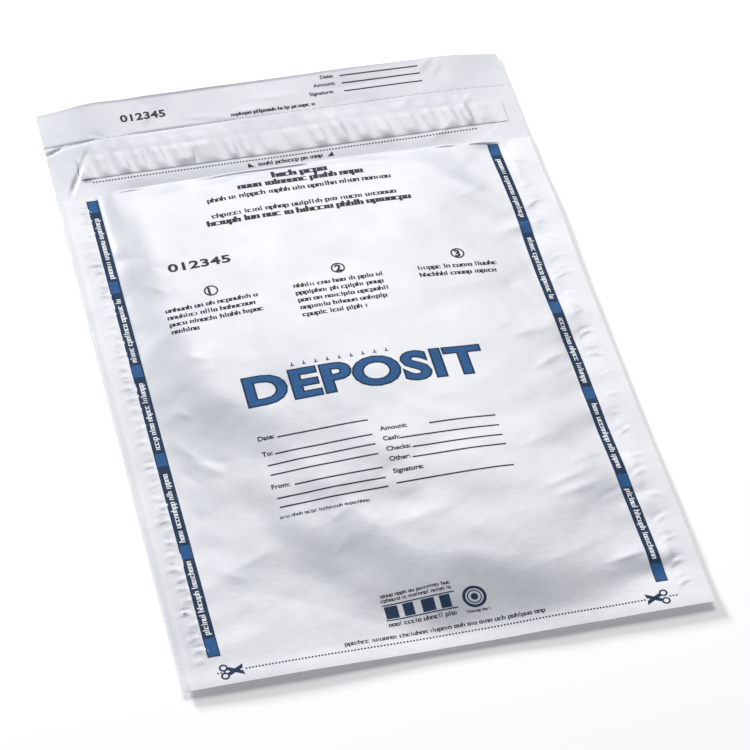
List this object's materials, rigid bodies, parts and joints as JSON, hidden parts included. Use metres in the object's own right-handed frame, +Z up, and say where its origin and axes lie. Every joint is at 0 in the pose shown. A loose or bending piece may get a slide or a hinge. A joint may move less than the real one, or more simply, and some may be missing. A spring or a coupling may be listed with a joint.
{
  "type": "cash deposit bag",
  "caption": "Flat pouch of opaque white film with welded sides, an adhesive lip with a peel-off liner that folds over the mouth, and a tear-off receipt.",
  "frame": {"origin": "on the surface the bag lies on, under the middle of its outline", "axes": "+X across the bag to the right as its print reads, +Y along it from the folded bottom to the receipt, +Z up out of its printed front"},
  "size_m": [0.2286, 0.3556, 0.0093],
  "materials": {
    "white_film": "satin",
    "welded_film": "satin",
    "adhesive": "gloss",
    "liner_film": "satin",
    "stripe_ink": "satin",
    "text_ink": "satin"
  },
  "bodies": {
    "pouch": {"back_panel": "white_film", "front_panel": "white_film", "left_side_seal": "welded_film", "right_side_seal": "welded_film", "bottom_fold": "white_film"},
    "lip": {"closure_lip": "white_film", "adhesive_strip": "adhesive"},
    "liner": {"release_liner": "liner_film"},
    "receipt": {"tear_off_receipt": "white_film"}
  },
  "joints": [
    {"name": "lip_fold", "type": "hinge", "parent": "pouch", "child": "lip", "pos_m": [0, 0.12705, 0.005], "axis": [1, 0, 0], "range_deg": [0, 176]},
    {"name": "liner_peel", "type": "slide", "parent": "lip", "child": "liner", "axis": [1, 0, 0], "range_m": [0, 0.235]},
    {"name": "receipt_tear", "type": "slide", "parent": "lip", "child": "receipt", "axis": [0, 1, 0], "range_m": [0, 0.04]}
  ]
}
